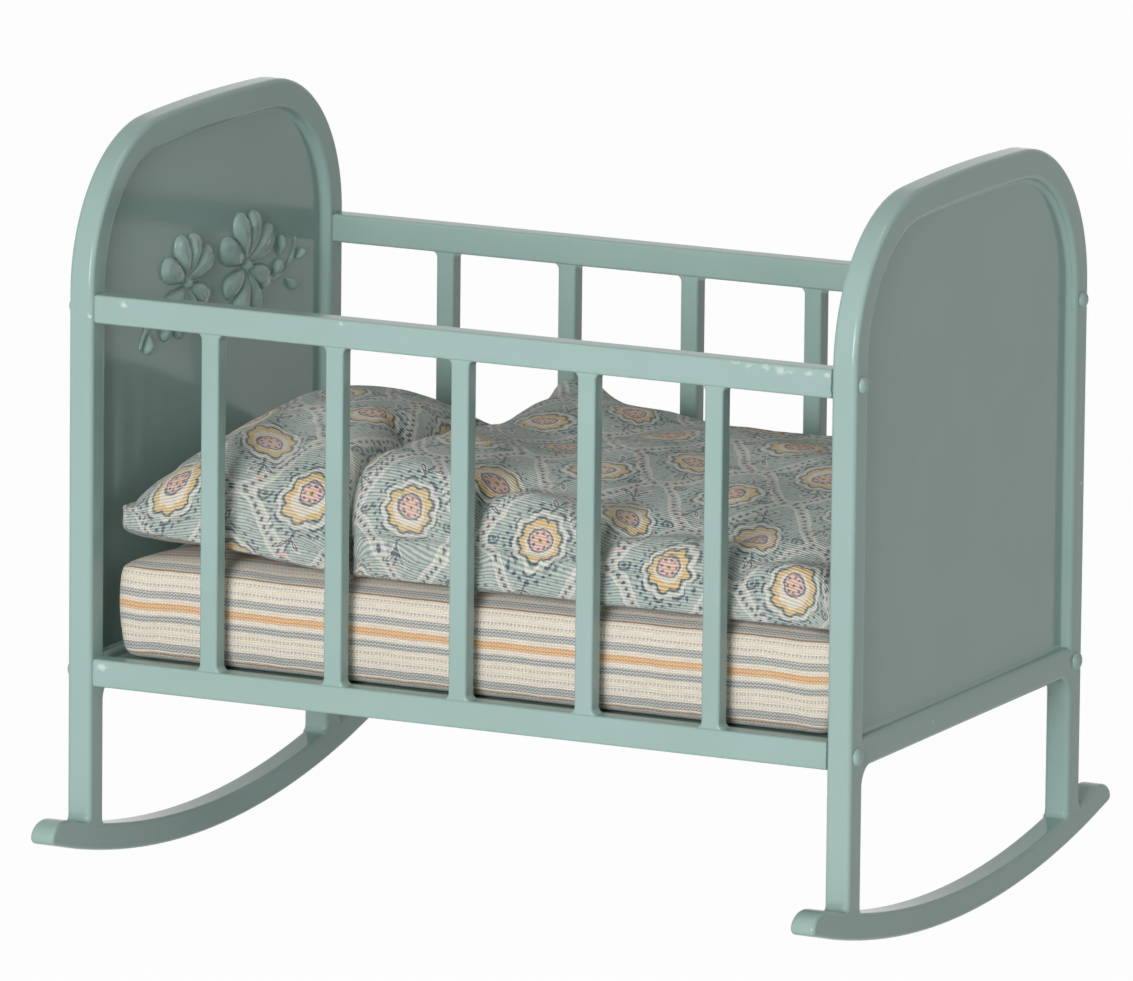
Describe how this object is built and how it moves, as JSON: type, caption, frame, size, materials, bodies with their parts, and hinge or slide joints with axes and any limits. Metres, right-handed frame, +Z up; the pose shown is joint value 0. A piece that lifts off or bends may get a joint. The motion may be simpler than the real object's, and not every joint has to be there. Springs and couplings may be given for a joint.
{
  "type": "doll cradle",
  "caption": "Small enamelled metal rocking cradle for a doll, with arched ends on curved rockers, slatted side gates and a loose mattress, pillow and quilt.",
  "frame": {"origin": "on the floor under the middle of the cradle, at the lowest point of the rockers", "axes": "+X from the headboard to the footboard, +Y from the front gate to the back gate, +Z up"},
  "size_m": [0.1274, 0.1026, 0.11],
  "materials": {
    "enamel": "glossy sage green enamel with small chips along the edges",
    "stripe_cloth": "woven cotton with grey-blue and orange stripes on cream",
    "print_cloth": "ribbed cotton, block printed in cream, ochre, pink and navy on teal"
  },
  "bodies": {
    "cradle": {"back_bottom_rail": "enamel", "back_slat_1": "enamel", "back_slat_2": "enamel", "back_slat_3": "enamel", "back_slat_4": "enamel", "back_slat_5": "enamel", "back_top_rail": "enamel", "base_plate": "enamel", "footboard_arch_bar": "enamel", "footboard_back_bottom_rivet": "enamel", "footboard_back_top_rivet": "enamel", "footboard_cross_rail": "enamel", "footboard_front_bottom_rivet": "enamel", "footboard_front_top_rivet": "enamel", "footboard_panel": "enamel", "footboard_rocker": "enamel", "front_bottom_rail": "enamel", "front_slat_1": "enamel", "front_slat_2": "enamel", "front_slat_3": "enamel", "front_slat_4": "enamel", "front_slat_5": "enamel", "front_top_rail": "enamel", "headboard_arch_bar": "enamel", "headboard_back_bottom_rivet": "enamel", "headboard_back_top_rivet": "enamel", "headboard_cross_rail": "enamel", "headboard_front_bottom_rivet": "enamel", "headboard_front_top_rivet": "enamel", "headboard_panel": "enamel", "headboard_rocker": "enamel"},
    "mattress": {"mattress": "stripe_cloth"},
    "pillow": {"pillow": "print_cloth"},
    "quilt": {"quilt": "print_cloth"}
  },
  "joints": [
    {"name": "mattress_lift", "type": "slide", "parent": "cradle", "child": "mattress", "axis": [0, 0, 1], "range_m": [0, 0.085]},
    {"name": "pillow_lift", "type": "slide", "parent": "mattress", "child": "pillow", "axis": [0, 0, 1], "range_m": [0, 0.07]},
    {"name": "quilt_lift", "type": "slide", "parent": "mattress", "child": "quilt", "axis": [0, 0, 1], "range_m": [0, 0.07]}
  ]
}
